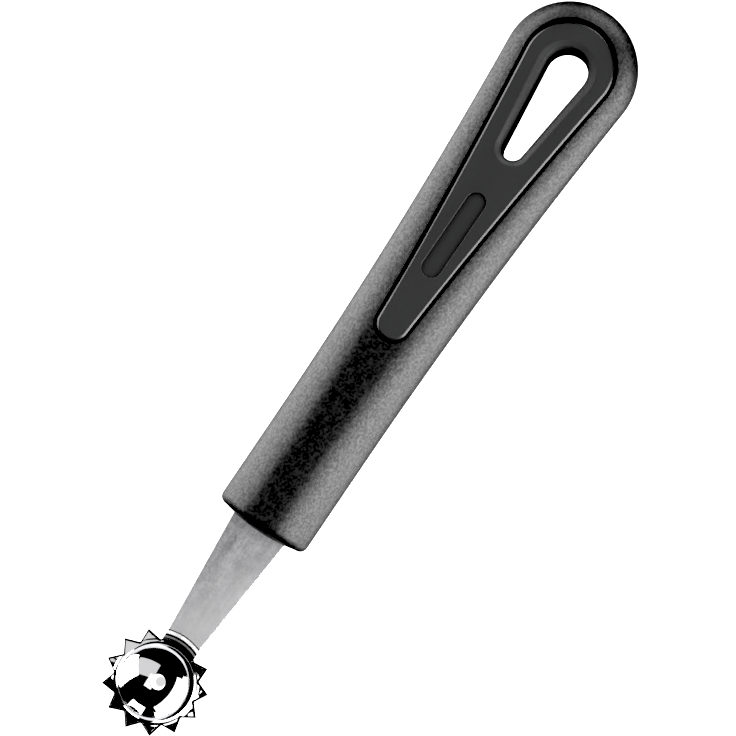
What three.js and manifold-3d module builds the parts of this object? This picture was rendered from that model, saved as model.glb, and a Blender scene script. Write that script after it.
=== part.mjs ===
// A tomato corer: a stamped steel blade with a toothed scoop, held in a moulded handle.
// Millimetres, +Z up. The tool lies on its back along X, scoop towards -X, butt towards +X.
// Inside this file x is measured from the centre of the bowl; the group shifts it at the end.
import * as THREE from "three";
import { mergeVertices } from "three/addons/utils/BufferGeometryUtils.js";
import Module from "manifold-3d";

const wasm = await Module();
wasm.setup();

// Blade, one sheet of steel
const sheet = 1.0;
const bowlRadius = 7.7;
const bowlDepth = 3.5;
const drainRadius = 1.6;
const lipRadius = 0.3;
const flareAngle = 20;
const rimWidth = 1.05;
const toothHeight = 2.1;
const rootFlat = 0.25;
const toothSpaces = 13;
const toothBevel = 8;
const neckWidth = 7.5;
const shankLength = 25.85;
const shankWidth = 12.0;
const shoulderDepth = 3.0;
const tangWidth = 8.0;
const tangHoleRadius = 1.6;
const tangHoleShares = [0.3, 0.75];

// Handle shell
const handleLength = 125.1;
const frontWidth = 20.3;
const thickness = 18.6;
const restWidth = 4.7;
const buttRadius = 13.8;
const buttThickness = 15.2;
const buttPower = 3.0;
const taperSetback = 8.0;
const straightLength = 22.5;
const noseDome = 1.0;
const noseFillet = 1.6;
const plugCheek = 2.0;
const boreHeight = 13.4;
const boreWall = 2.0;
const tangCover = 3.0;
const plugPegLength = 2.2;

// Inlays, one let into each face
const inlayLength = 61.9;
const inlayTipRadius = 3.38;
const inlayButtRadius = 9.25;
const inlaySag = 0.42;
const inlayTipSink = 0.3;
const inlayButtSink = 2.75;
const inlayBevelRun = 0.5;
const inlayBevelDrop = 0.34;
const inlayThickness = 2.4;
const flangeThickness = 1.1;
const grooveWidth = 0.62;
const pegRadius = 1.4;
const pegLength = 2.2;
const pegSpacing = 16.0;

// Hanging slot and the sunk panel on each inlay
const slotLength = 18.8;
const slotSetback = 0.9;
const slotTipRadius = 2.3;
const slotButtRadius = 4.4;
const slotDishDepth = 0.5;
const slotTipDish = 2.0;
const slotButtDish = 2.6;
const collarWall = 1.3;
const panelLength = 19.7;
const panelWidth = 4.2;
const panelDepth = 0.35;
const panelSetback = 40.6;

// Clearance between pieces
const fit = 0.3;

// Facets along curves
const facets = {
  bowl: 7, bend: 4, tip: 12, butt: 22, side: 6, oval: 40,
  flank: 16, grip: 4, taper: 7, round: 8, post: 16, fillet: 3,
};

const { cos, sin, tan, acos, asin, atan, PI } = Math;
const radians = THREE.MathUtils.degToRad;
const upright = new THREE.Vector3(0, 0, 1);

// Places along the tool, from the centre of the bowl
const rootRadius = bowlRadius + rimWidth;
const tipRadius = rootRadius + toothHeight;
const noseX = tipRadius + shankLength;
const frontX = noseX + noseDome;
const buttX = noseX + handleLength - buttRadius;
const endX = buttX + buttRadius;
const flareX = frontX + straightLength;
const inlayTipX = buttX - inlayLength;
const taperX = inlayTipX + taperSetback;
const boreEndX = inlayTipX - inlayTipRadius - grooveWidth - boreWall;
const plugEndX = boreEndX - fit;
const tangEndX = plugEndX - tangCover;
const shoulderX = frontX + shoulderDepth;

// A cutter runs past what it cuts by the length of the tool
const reach = endX;

// The bowl is a cap of a sphere; its rim bends over the lip into the cone of the teeth
const flare = radians(flareAngle);
const sphereRadius = (bowlRadius ** 2 + bowlDepth ** 2) / (2 * bowlDepth);
const rimAngle = asin(bowlRadius / sphereRadius);
const lipOuter = lipRadius + sheet;
const lipX = bowlRadius + lipOuter * sin(rimAngle);
const coneStartR = lipX - lipOuter * sin(flare);

// Heights above the surface that the tool lies on, down from the shank in the middle of the handle
const axisZ = thickness / 2;
const shankTopZ = axisZ + sheet / 2;
const coneStartZ = shankTopZ - (tipRadius - coneStartR) * tan(flare);
const lipZ = coneStartZ - lipOuter * cos(flare);
const sphereZ = lipZ + (lipOuter + sphereRadius) * cos(rimAngle);

// An inlay's face, above the middle of the handle, sinks towards the butt
const inlayRise = thickness / 2 - inlayButtSink;
const inlaySlope = atan((inlayButtSink - inlayTipSink) / inlayLength);
const boreWidth = shankWidth + 2 * plugCheek;

// Closed surface through rings of points; a ring of one point closes that end,
// and the triangles in cap close any other end
function skin(rings, cap = []) {
  const points = rings.flat();
  const starts = [];
  let count = 0;
  for (const ring of rings) {
    starts.push(count);
    count += ring.length;
  }
  const faces = [];
  for (let i = 0; i + 1 < rings.length; i++) {
    const n = Math.max(rings[i].length, rings[i + 1].length);
    for (let j = 0; j < n; j++) {
      const k = (j + 1) % n;
      const a = starts[i] + (rings[i].length > 1 ? j : 0);
      const b = starts[i] + (rings[i].length > 1 ? k : 0);
      const c = starts[i + 1] + (rings[i + 1].length > 1 ? k : 0);
      const d = starts[i + 1] + (rings[i + 1].length > 1 ? j : 0);
      if (a !== b) faces.push(a, b, c);
      if (c !== d) faces.push(a, c, d);
    }
  }
  const last = starts[rings.length - 1];
  for (const [a, b, c] of cap) {
    faces.push(c, b, a);
    faces.push(last + a, last + b, last + c);
  }
  const geometry = new THREE.BufferGeometry().setFromPoints(points);
  geometry.setIndex(faces);
  return geometry;
}

// Closed surface over outlines in the XY plane, one at each height, from the bottom up
function stack(levels) {
  const rings = levels.map(([outline, z]) => outline.map((p) => new THREE.Vector3(p.x, p.y, z)));
  return skin(rings, THREE.ShapeUtils.triangulateShape(levels[0][0], []));
}

function prism(outline, z0, z1) {
  return stack([[outline, z0], [outline, z1]]);
}

function toSolid(geometry) {
  const weld = 1e-5;
  const bare = geometry.clone();
  bare.deleteAttribute("normal");
  bare.deleteAttribute("uv");
  const merged = mergeVertices(bare, weld);
  const vertProperties = new Float32Array(merged.attributes.position.array);
  const triVerts = new Uint32Array(merged.index.array);
  return new wasm.Manifold(new wasm.Mesh({ numProp: 3, vertProperties, triVerts }));
}

function toMesh(name, solid, material) {
  const { vertProperties, triVerts } = solid.getMesh();
  const geometry = new THREE.BufferGeometry();
  geometry.setAttribute("position", new THREE.BufferAttribute(vertProperties, 3));
  geometry.setIndex(new THREE.BufferAttribute(triVerts, 1));
  geometry.computeVertexNormals();
  const mesh = new THREE.Mesh(geometry, material);
  mesh.name = name;
  return mesh;
}

function arc(x, y, radius, from, to, steps) {
  const points = [];
  for (let i = 0; i <= steps; i++) {
    const angle = from + ((to - from) * i) / steps;
    points.push(new THREE.Vector2(x + radius * cos(angle), y + radius * sin(angle)));
  }
  return points;
}

// Values in equal steps from one end, short of the other
function steps(from, to, count) {
  return Array.from({ length: count }, (_, i) => from + ((to - from) * i) / count);
}

// Angles of a quarter turn, for fillets
function quarterTurn() {
  return Array.from({ length: facets.fillet + 1 }, (_, i) => (PI / 2) * (i / facets.fillet));
}

// Outline round a small circle at x0 and a large one at x1, anticlockwise from above;
// its straight sides draw in by sag at their middle
function teardrop(x0, radius0, x1, radius1, sag = 0) {
  const lean = asin((radius1 - radius0) / (x1 - x0));
  const butt = arc(x1, 0, radius1, -PI / 2 - lean, PI / 2 + lean, facets.butt);
  const tip = arc(x0, 0, radius0, PI / 2 + lean, (3 * PI) / 2 - lean, facets.tip);
  if (sag === 0) return [...butt, ...tip];
  const side = (from, to, inward) => {
    const middle = from.clone().lerp(to, 0.5).add(new THREE.Vector2(0, 2 * sag * inward));
    return new THREE.QuadraticBezierCurve(from, middle, to).getPoints(facets.side).slice(1, -1);
  };
  const top = side(butt.at(-1), tip[0], -1);
  const bottom = side(tip.at(-1), butt[0], 1);
  return [...butt, ...top, ...tip, ...bottom];
}

function ellipse(halfWidth, halfHeight, steps = facets.oval) {
  const points = [];
  for (let i = 0; i < steps; i++) {
    const angle = (2 * PI * i) / steps;
    points.push(new THREE.Vector2(halfWidth * cos(angle), halfHeight * sin(angle)));
  }
  return points;
}

// Bowl, toothed rim, neck, shank and tang

function coneBottomZ(radius) {
  return shankTopZ + (radius - tipRadius) * tan(flare) - sheet / cos(flare);
}

// Section of the formed end: bowl, lip, cone and the flat strip that it was pressed from
function scoopProfile() {
  const bend = (radius) => arc(lipX, lipZ, radius, PI / 2 + rimAngle, PI / 2 + flare, facets.bend);
  const bowl = (radius) => {
    const start = -acos(drainRadius / radius);
    return arc(0, sphereZ, radius, start, rimAngle - PI / 2, facets.bowl);
  };
  const stripR = tipRadius + 2 * sheet;
  const creaseR = tipRadius + sheet * tan(flare / 2);
  const top = [...bowl(sphereRadius), ...bend(lipOuter).slice(1)];
  const bottom = [...bowl(sphereRadius + sheet), ...bend(lipRadius).slice(1)];
  top.push(new THREE.Vector2(tipRadius, shankTopZ), new THREE.Vector2(stripR, shankTopZ));
  bottom.push(new THREE.Vector2(creaseR, shankTopZ - sheet), new THREE.Vector2(stripR, shankTopZ - sheet));
  const loop = [...bottom, ...top.reverse()];
  loop.push(loop[0].clone());
  return loop;
}

// Notch between two teeth, run through the sheet on a slant that bevels both flanks
function notch(angle) {
  const half = PI / toothSpaces;
  const slant = PI / 2 - flare - radians(toothBevel);
  const run = rimWidth + toothHeight + 2 * sheet;
  const along = new THREE.Vector3(-cos(slant), 0, sin(slant)).multiplyScalar(run);
  const toothLengths = 4;
  const rootZ = coneBottomZ(rootRadius);
  const corner = (s) => {
    const root = new THREE.Vector3(rootRadius, (s * rootFlat) / 2, rootZ);
    const tip = new THREE.Vector3(tipRadius * cos(half), s * tipRadius * sin(half), coneBottomZ(tipRadius));
    return [root, root.clone().lerp(tip, toothLengths)];
  };
  const [rootLeft, farLeft] = corner(1);
  const [rootRight, farRight] = corner(-1);
  const section = [rootLeft, rootRight, farRight, farLeft];
  const turn = (p) => p.applyAxisAngle(upright, angle);
  const outer = section.map((p) => turn(p.clone().sub(along)));
  const inner = section.map((p) => turn(p.clone().add(along)));
  return toSolid(skin([outer, inner], [[0, 1, 2], [0, 2, 3]]));
}

// Outline of the strip from x0 to the end of the tang, grown on all sides
function stripOutline(x0, grow) {
  const neck = neckWidth / 2 + grow;
  const shank = shankWidth / 2 + grow;
  const tang = tangWidth / 2 + grow;
  const end = tangEndX + grow;
  const upper = [
    [x0, neck], [tipRadius, neck], [noseX, shank], [shoulderX + grow, shank],
    [shoulderX + grow, tang], [end, tang],
  ];
  const lower = upper.map(([x, y]) => [x, -y]);
  return [...lower, ...upper.reverse()].map(([x, y]) => new THREE.Vector2(x, y));
}

function tangHoles() {
  return tangHoleShares.map((share) => shoulderX + share * (tangEndX - shoulderX));
}

function post(x, radius, z0, z1) {
  const loop = ellipse(radius, radius, facets.post).map((p) => p.add(new THREE.Vector2(x, 0)));
  return toSolid(prism(loop, z0, z1));
}

function scoopBlade() {
  const profile = new THREE.LatheGeometry(scoopProfile(), 4 * toothSpaces);
  profile.rotateX(PI / 2);
  const notches = [];
  for (let i = 0; i < toothSpaces; i++) {
    notches.push(notch(PI + ((i + 0.5) * 2 * PI) / toothSpaces));
  }
  const neck = toSolid(prism(stripOutline(0, 0), -reach, reach));
  const teeth = wasm.Manifold.union(notches).subtract(neck);
  const strip = toSolid(prism(stripOutline(tipRadius + sheet, 0), shankTopZ - sheet, shankTopZ));
  let blade = toSolid(profile).subtract(teeth).add(strip);
  for (const x of tangHoles()) {
    blade = blade.subtract(post(x, tangHoleRadius, -reach, reach));
  }
  return blade;
}

// Handle: an oval bar with flat crests and a domed nose, thinner and squarer towards its round butt

// Oval |y / halfWidth| ** power + |z / full| ** power = 1, cut off level at both crests
function section(x, halfWidth, halfHeight, power) {
  const bend = (value) => Math.sign(value) * Math.abs(value) ** (2 / power);
  const edge = acos((restWidth / frontWidth) ** (power / 2));
  const full = halfHeight / bend(sin(edge));
  const side = (middle) => arc(0, 0, 1, middle - edge, middle + edge, facets.flank);
  const points = [...side(0), ...side(PI)];
  return points.map((p) => new THREE.Vector3(x, halfWidth * bend(p.x), axisZ + full * bend(p.y)));
}

function handleBody() {
  const halfWidth = frontWidth / 2;
  const halfHeight = thickness / 2;
  const buttHeight = buttThickness / 2;
  const nosePower = 2;
  const rings = [[new THREE.Vector3(noseX, 0, axisZ)]];
  for (const angle of quarterTurn().slice(1)) {
    const share = (2 * angle) / PI;
    const x = frontX - noseDome * (1 - share * share);
    rings.push(section(x, (halfWidth - noseFillet) * share, (halfHeight - noseFillet) * share, nosePower));
  }
  for (const angle of quarterTurn().slice(1)) {
    const x = frontX + noseFillet * (1 - cos(angle));
    const inset = noseFillet * (1 - sin(angle));
    rings.push(section(x, halfWidth - inset, halfHeight - inset, nosePower));
  }
  // The sides follow a parabola from the straight grip to where it meets the round butt;
  // the crests stay level past the tool's balance point, then fall straight
  const rise = buttRadius - halfWidth;
  const lean = atan((2 * rise) / (buttX - flareX));
  const meetX = buttX - buttRadius * sin(lean);
  const meetWidth = buttRadius * cos(lean);
  const level = steps(flareX, taperX, facets.grip);
  const falling = steps(taperX, meetX, facets.taper);
  for (const x of [...level, ...falling, meetX]) {
    const share = (x - flareX) / (meetX - flareX);
    const drop = Math.max(x - taperX, 0) / (meetX - taperX);
    const width = halfWidth + (meetWidth - halfWidth) * share * share;
    const height = halfHeight + (buttHeight - halfHeight) * drop;
    rings.push(section(x, width, height, nosePower + (buttPower - nosePower) * share));
  }
  for (let i = 0; i < facets.round; i++) {
    const angle = (PI / 2) * (i / facets.round);
    const height = buttHeight * (1 - sin(angle) ** buttPower) ** (1 / buttPower);
    rings.push(section(buttX + buttRadius * sin(angle), buttRadius * cos(angle), height, buttPower));
  }
  rings.push([new THREE.Vector3(endX, 0, axisZ)]);
  return toSolid(skin(rings));
}

function boreSolid(grow, lastX) {
  const loop = ellipse(boreWidth / 2 + grow, boreHeight / 2 + grow);
  const ring = (x) => loop.map((p) => new THREE.Vector3(x, p.x, axisZ + p.y));
  const cap = THREE.ShapeUtils.triangulateShape(loop, []);
  return toSolid(skin([ring(noseX - reach), ring(lastX)], cap));
}

// Plug: two halves that clamp the tang, split at its upper face and pressed into the bore
function plugHalves(body) {
  const pocket = toSolid(prism(stripOutline(tipRadius, fit), shankTopZ - sheet - fit, shankTopZ + fit));
  const whole = boreSolid(-fit, plugEndX).intersect(body).subtract(pocket);
  const slab = (z0, z1) => {
    const y = frontWidth;
    const corners = [[0, -y], [endX, -y], [endX, y], [0, y]].map(([a, b]) => new THREE.Vector2(a, b));
    return toSolid(prism(corners, z0, z1));
  };
  let front = whole.intersect(slab(shankTopZ + fit, reach));
  let back = whole.intersect(slab(-reach, shankTopZ));
  for (const x of tangHoles()) {
    front = front.subtract(post(x, tangHoleRadius, 0, shankTopZ + plugPegLength + fit));
    back = back.add(post(x, tangHoleRadius - fit, shankTopZ - 2 * sheet, shankTopZ + plugPegLength));
  }
  return { front, back };
}

// Inlay: x runs from the centre of the butt, z up from the inlay's own face

function inlayOutline(grow) {
  const tip = inlayTipRadius + grow;
  return teardrop(-inlayLength, tip, 0, inlayButtRadius + grow, inlaySag);
}

function slotOutline(tipGrow, buttGrow) {
  const x = -slotSetback;
  return teardrop(x - slotLength, slotTipRadius + tipGrow, x, slotButtRadius + buttGrow);
}

function panelOutline() {
  const half = panelWidth / 2;
  const reachX = panelLength / 2 - half;
  return teardrop(-panelSetback - reachX, half, -panelSetback + reachX, half);
}

function inlayPegs() {
  return [-0.5, 0.5].map((share) => -panelSetback + share * pegSpacing);
}

// Collar that lines the slot, from a height down to just short of the handle's middle
function collarSolid(top) {
  const loop = slotOutline(collarWall, collarWall);
  const endZ = (x) => (x * sin(inlaySlope) + fit / 2 - inlayRise) / cos(inlaySlope);
  const end = loop.map((p) => new THREE.Vector3(p.x, p.y, endZ(p.x)));
  const start = loop.map((p) => new THREE.Vector3(p.x, p.y, top));
  return toSolid(skin([end, start], THREE.ShapeUtils.triangulateShape(loop, [])));
}

function inlaySolid() {
  const bottom = -inlayThickness;
  const ledge = bottom + flangeThickness;
  const edge = inlayOutline(0);
  const top = inlayOutline(-inlayBevelRun);
  const face = toSolid(stack([[edge, ledge - fit], [edge, -inlayBevelDrop], [top, 0]]));
  const flange = toSolid(prism(inlayOutline(grooveWidth - fit), bottom, ledge));
  const collar = collarSolid(ledge);
  // The face dips into the slot along a parabola
  const dish = quarterTurn().map((angle) => {
    const share = (2 * angle) / PI;
    return [slotOutline(slotTipDish * share, slotButtDish * share), -slotDishDepth * (1 - share) ** 2];
  });
  const mouth = slotOutline(slotTipDish, slotButtDish);
  const slot = toSolid(stack([[slotOutline(0, 0), -reach], ...dish, [mouth, reach]]));
  const panel = toSolid(prism(panelOutline(), -panelDepth, reach));
  let inlay = face.add(flange).add(collar).subtract(slot).subtract(panel);
  for (const x of inlayPegs()) {
    inlay = inlay.add(post(x, pegRadius, bottom - pegLength, ledge));
  }
  return inlay;
}

// What the shell loses to one inlay, in the inlay's own place
function inlayCutter() {
  const bottom = -inlayThickness - fit;
  const pocket = toSolid(prism(inlayOutline(grooveWidth), bottom, reach));
  const passage = collarWall + fit;
  const collar = toSolid(prism(slotOutline(passage, passage), -axisZ, reach));
  let cutter = pocket.add(collar);
  for (const x of inlayPegs()) {
    cutter = cutter.add(post(x, pegRadius + fit, bottom - pegLength - fit, reach));
  }
  return cutter;
}

// Place of an inlay on the handle, turned half round the tool for the back
function facePlace(turn) {
  const place = new THREE.Group();
  place.position.set(buttX, 0, axisZ);
  place.rotation.x = turn;
  const tilt = new THREE.Group();
  tilt.position.z = inlayRise;
  tilt.rotation.y = inlaySlope;
  place.add(tilt);
  place.updateMatrixWorld(true);
  return { place, tilt };
}

function handleShell(body, faces) {
  let shell = body.subtract(boreSolid(0, boreEndX));
  for (const { tilt } of faces) {
    shell = shell.subtract(inlayCutter().transform(tilt.matrixWorld.elements));
  }
  return shell;
}

// Materials
const steel = new THREE.MeshStandardMaterial({ color: 0xb9babc, roughness: 0.22, metalness: 1.0 });
const grained = new THREE.MeshStandardMaterial({ color: 0x1a1a1b, roughness: 0.62, metalness: 0.0 });
const smooth = new THREE.MeshStandardMaterial({ color: 0x19191a, roughness: 0.35, metalness: 0.0 });
const hard = new THREE.MeshStandardMaterial({ color: 0x151516, roughness: 0.45, metalness: 0.0 });

// The tool, with its origin on the surface that it lies on, halfway along its length
const tool = new THREE.Group();
tool.position.x = -(endX - tipRadius) / 2;
const body = handleBody();
const faces = [facePlace(0), facePlace(PI)];
const plug = plugHalves(body);
tool.add(toMesh("scoop_blade", scoopBlade(), steel));
tool.add(toMesh("plug_front", plug.front, hard.clone()));
tool.add(toMesh("plug_back", plug.back, hard.clone()));
tool.add(toMesh("handle_shell", handleShell(body, faces), grained));
for (const [i, name] of ["front_inlay", "back_inlay"].entries()) {
  faces[i].tilt.add(toMesh(name, inlaySolid(), smooth.clone()));
  tool.add(faces[i].place);
}
const group = new THREE.Group();
group.add(tool);

export default group;
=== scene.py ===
import bmesh
import bpy
import numpy as np
from mathutils import Matrix, Quaternion, Vector


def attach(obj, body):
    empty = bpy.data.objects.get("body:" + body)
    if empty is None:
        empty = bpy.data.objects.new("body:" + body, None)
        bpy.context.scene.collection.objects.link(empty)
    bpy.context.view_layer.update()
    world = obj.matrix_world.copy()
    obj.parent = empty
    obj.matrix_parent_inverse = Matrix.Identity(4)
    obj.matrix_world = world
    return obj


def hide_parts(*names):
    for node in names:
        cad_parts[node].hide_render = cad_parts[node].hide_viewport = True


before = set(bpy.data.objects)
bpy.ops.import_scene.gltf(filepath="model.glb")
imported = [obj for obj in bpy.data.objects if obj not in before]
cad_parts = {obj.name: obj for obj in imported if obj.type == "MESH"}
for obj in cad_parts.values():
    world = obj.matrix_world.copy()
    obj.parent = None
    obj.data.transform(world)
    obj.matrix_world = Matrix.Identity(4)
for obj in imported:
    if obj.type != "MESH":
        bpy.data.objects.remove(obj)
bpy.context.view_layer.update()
print("frame loaded:", ", ".join(sorted(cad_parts)))

# Shapes are worked out in millimetres from the bowl's centre, z up from the floor
middleX = 75.475        # halfway along the tool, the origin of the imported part
axisZ = 9.3             # middle of the handle above the floor
millimetre = 0.001      # in metres
almostNone = 1e-9       # keeps a width from reaching zero
mergeGap, sliver = 2e-6, 1e-6     # in metres: corners closer than this are one, faces thinner than this go


def smoothMax(value, soft):
    # value or 0, whichever is more, with a parabola between -soft and soft to round the corner
    bend = (value + soft) ** 2 / (4 * soft)
    return np.where(value > soft, value, np.where(value < -soft, 0.0, bend))


def degrees(first, last, count):
    # evenly spaced angles from first to last, turned into radians
    return np.radians(np.linspace(first, last, count))


def blend(first, last, share):
    # first at share 0, last at share 1, in proportion between
    return first + (last - first) * share


def points(x, y, z):
    # a grid of places from three coordinates that are spread to the same shape
    return np.stack(np.broadcast_arrays(x, y, z), axis=-1).astype(float)


def mirrored(grids, axis, centre=0.0):
    # the same grids on the other side of a plane square to x, y or z
    out = []
    for grid in grids:
        copy = grid.copy()
        copy[..., axis] = 2 * centre - copy[..., axis]
        out.append(copy)
    return out


def gridFaces(rows, columns, start):
    # quads between neighbouring rows and columns, their corners numbered from start
    row, column = np.meshgrid(np.arange(rows - 1), np.arange(columns - 1), indexing="ij")
    corner = row * columns + column
    quads = np.stack([corner, corner + 1, corner + columns + 1, corner + columns], axis=-1)
    return quads.reshape(-1, 4) + start


def meshPiece(name, grids, sharp, edgeFrom=None):
    # one closed mesh from grids that share their edges; rows that shrink to a point become fans; grids
    # from number edgeFrom on are edges with a finish of their own, marked 1 in the face attribute edge
    corners, faces, marks, start = [], [], [], 0
    for number, grid in enumerate(grids):
        rows, columns = grid.shape[:2]
        corners.append(grid.reshape(-1, 3))
        faces.append(gridFaces(rows, columns, start))
        marks.append(np.full(len(faces[-1]), float(edgeFrom is not None and number >= edgeFrom)))
        start += rows * columns
    place = (np.concatenate(corners) - [middleX, 0, 0]) * millimetre
    mesh = bpy.data.meshes.new(name)
    mesh.from_pydata(place.tolist(), [], np.concatenate(faces).tolist())
    if edgeFrom is not None:
        mesh.attributes.new("edge", "FLOAT", "FACE").data.foreach_set("value", np.concatenate(marks))
    work = bmesh.new()
    work.from_mesh(mesh)
    bmesh.ops.remove_doubles(work, verts=work.verts, dist=mergeGap)
    bmesh.ops.dissolve_degenerate(work, edges=work.edges, dist=sliver)
    bmesh.ops.recalc_face_normals(work, faces=work.faces)
    openEdges = sum(1 for edge in work.edges if not edge.is_manifold)
    work.to_mesh(mesh)
    work.free()
    mesh.shade_smooth()
    mesh.set_sharp_from_angle(angle=np.radians(sharp))
    piece = bpy.data.objects.new(name, mesh)
    bpy.context.scene.collection.objects.link(piece)
    print(name, "has", len(mesh.polygons), "faces and", openEdges, "open edges")
    return piece


def flatNormals(piece):
    # large faces keep their own direction, and the small ones beside them take up the turn
    weigh = piece.modifiers.new("flatNormals", "WEIGHTED_NORMAL")
    weigh.keep_sharp = True


def roundEdges(piece, width, angle):
    # a bevel of that width on every edge that turns by more than angle
    bevel = piece.modifiers.new("edge", "BEVEL")
    bevel.width = width * millimetre
    bevel.segments = 2
    bevel.limit_method = "ANGLE"
    bevel.angle_limit = np.radians(angle)
    bevel.use_clamp_overlap = True
    flatNormals(piece)


def fit(piece, node, material):
    # the piece stands for its CAD node and moves with the tool
    piece.data.materials.append(material)
    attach(piece, "root")
    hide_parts(node)


# Shader sums: a Wire is one output socket, and + - * ** on it add Math nodes
class Wire:
    def __init__(self, tree, socket=None):
        self.tree, self.socket = tree, socket

    def node(self, kind, settings=(), inputs=(), output=0):
        # any node by its type: settings first, then the values or links of its sockets
        made = self.tree.nodes.new(kind)
        for key, value in dict(settings).items():
            setattr(made, key, value)
        for key, value in dict(inputs).items():
            if isinstance(value, Wire):
                self.tree.links.new(value.socket, made.inputs[key])
            else:
                made.inputs[key].default_value = value
        return Wire(self.tree, made.outputs[output] if made.outputs else None)

    def math(self, operation, first, second=0.0):
        return self.node("ShaderNodeMath", {"operation": operation}, {0: first, 1: second})

    def __add__(self, other):
        return self.math("ADD", self, other)

    def __radd__(self, other):
        return self.math("ADD", other, self)

    def __sub__(self, other):
        return self.math("SUBTRACT", self, other)

    def __rsub__(self, other):
        return self.math("SUBTRACT", other, self)

    def __mul__(self, other):
        return self.math("MULTIPLY", self, other)

    def __rmul__(self, other):
        return self.math("MULTIPLY", other, self)

    def __pow__(self, other):
        return self.math("POWER", self, other)


def newMaterial(name):
    # an empty material, its wires, and the place on the piece that patterns follow
    material = bpy.data.materials.new(name)
    material.use_nodes = True
    material.node_tree.nodes.clear()
    wire = Wire(material.node_tree)
    return material, wire, wire.node("ShaderNodeTexCoord", output=3)


def finished(material, wire, surface):
    # the material with its shader joined to the output
    wire.node("ShaderNodeOutputMaterial", {}, {"Surface": surface})
    return material


def coordinate(wire, place, axis):
    # x, y or z of a place
    return wire.node("ShaderNodeSeparateXYZ", {}, {0: place}, axis)


def edgeMark(wire):
    # 1 on the faces that meshPiece marked as edges
    return wire.node("ShaderNodeAttribute", {"attribute_name": "edge"}, {}, 2)


def noise(wire, place, scale, detail, stretch=(1, 1, 1)):
    # cloudy noise with about scale clouds to the metre, drawn out where stretch is under 1
    spot = wire.node("ShaderNodeMapping", {}, {"Vector": place, "Scale": stretch})
    inputs = {"Vector": spot, "Scale": scale, "Detail": detail, "Roughness": 0.5}
    return wire.node("ShaderNodeTexNoise", {"noise_dimensions": "3D"}, inputs)


def fade(wire, value, start, end):
    # 0 before start, 1 after end, smooth between; it falls instead where end is the smaller
    inputs = {"Value": value, "From Min": start, "From Max": end}
    return wire.node("ShaderNodeMapRange", {"interpolation_type": "SMOOTHSTEP"}, inputs)


def tone(wire, factor, first, last):
    # first at factor 0, last at factor 1; each is a colour or another tone
    first, last = (shade if isinstance(shade, Wire) else (*shade, 1) for shade in (first, last))
    return wire.node("ShaderNodeMix", {"data_type": "RGBA"}, {0: factor, 6: first, 7: last}, 2)


def bumped(wire, height, strength, depth):
    # the surface's direction with a height from 0 to 1 standing depth metres tall
    inputs = {"Strength": strength, "Distance": depth, "Height": height}
    return wire.node("ShaderNodeBump", {}, inputs)


def principled(wire, colour, rough, bump, constant=()):
    # what varies over the surface, then the sockets that are the same all over it
    inputs = {"Base Color": colour, "Roughness": rough, "Normal": bump, **dict(constant)}
    return wire.node("ShaderNodeBsdfPrincipled", {}, inputs)


# Moulded grain on the shell: blotches about a millimetre across with finer pits that hold the light back
shellFinish = {
    "dark": (0.003, 0.003, 0.003), "light": (0.006, 0.006, 0.006), "toneRun": (0.35, 0.65),
    "blotch": 900.0, "pit": 3000.0, "speckle": 1900.0, "grainMix": (0.6, 0.4),
    "roughness": 0.53, "roughSpread": 0.35, "bump": 0.55, "bumpDepth": 0.0002, "index": 1.6,
    "pitMix": (0.7, 0.3), "pitRun": (0.62, 0.38), "pitShare": 0.42, "pitIndex": 1.2}


def shellMaterial():
    # grain of two noises sets tone, roughness and bump; where speckle is low, a duller shader mixes in
    finish = shellFinish
    material, wire, place = newMaterial("shellGrained")
    blotch = noise(wire, place, finish["blotch"], detail=2.0)
    pit = noise(wire, place, finish["pit"], detail=2.0)
    speckle = noise(wire, place, finish["speckle"], detail=1.0)
    grain = blotch * finish["grainMix"][0] + pit * finish["grainMix"][1]
    colour = tone(wire, fade(wire, grain, *finish["toneRun"]), finish["dark"], finish["light"])
    rough = finish["roughness"] + (grain - 0.5) * finish["roughSpread"]
    bump = bumped(wire, grain, finish["bump"], finish["bumpDepth"])
    skin = principled(wire, colour, rough, bump, {"IOR": finish["index"]})
    pits = principled(wire, colour, rough, bump, {"IOR": finish["pitIndex"]})
    low = speckle * finish["pitMix"][0] + blotch * finish["pitMix"][1]
    sunk = fade(wire, low, *finish["pitRun"]) * finish["pitShare"]
    return finished(material, wire, wire.node("ShaderNodeMixShader", {}, {0: sunk, 1: skin, 2: pits}))


# Smooth satin plastic of the inlays, with the faint flow and fine dust of a used moulding
inlayFinish = {
    "dark": (0.029, 0.029, 0.0293), "light": (0.034, 0.034, 0.0344), "index": 1.42,
    "roughness": 0.46, "bevel": 0.26, "flow": 120.0, "flowStretch": (0.35, 1, 1), "flowRough": 0.08,
    "dust": 5000.0, "dustRough": 0.10, "bump": 0.05, "bumpDepth": 0.0001}


def inlayMaterial():
    # flow sets the tone, flow and dust the roughness; the bevelled edge is glossier than the face
    finish = inlayFinish
    material, wire, place = newMaterial("inlaySatin")
    flow = noise(wire, place, finish["flow"], detail=3.0, stretch=finish["flowStretch"])
    dust = noise(wire, place, finish["dust"], detail=2.0)
    colour = tone(wire, flow, finish["dark"], finish["light"])
    satin = finish["roughness"] - edgeMark(wire) * (finish["roughness"] - finish["bevel"])
    rough = satin + (flow - 0.5) * finish["flowRough"] + (dust - 0.5) * finish["dustRough"]
    bump = bumped(wire, dust, finish["bump"], finish["bumpDepth"])
    return finished(material, wire, principled(wire, colour, rough, bump, {"IOR": finish["index"]}))


# Plain moulded plastic of the plug
plugFinish = {
    "dark": (0.008, 0.008, 0.008), "light": (0.014, 0.014, 0.014), "grain": 2600.0,
    "roughness": 0.5, "roughSpread": 0.2, "bump": 0.15, "bumpDepth": 0.0001}


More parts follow.
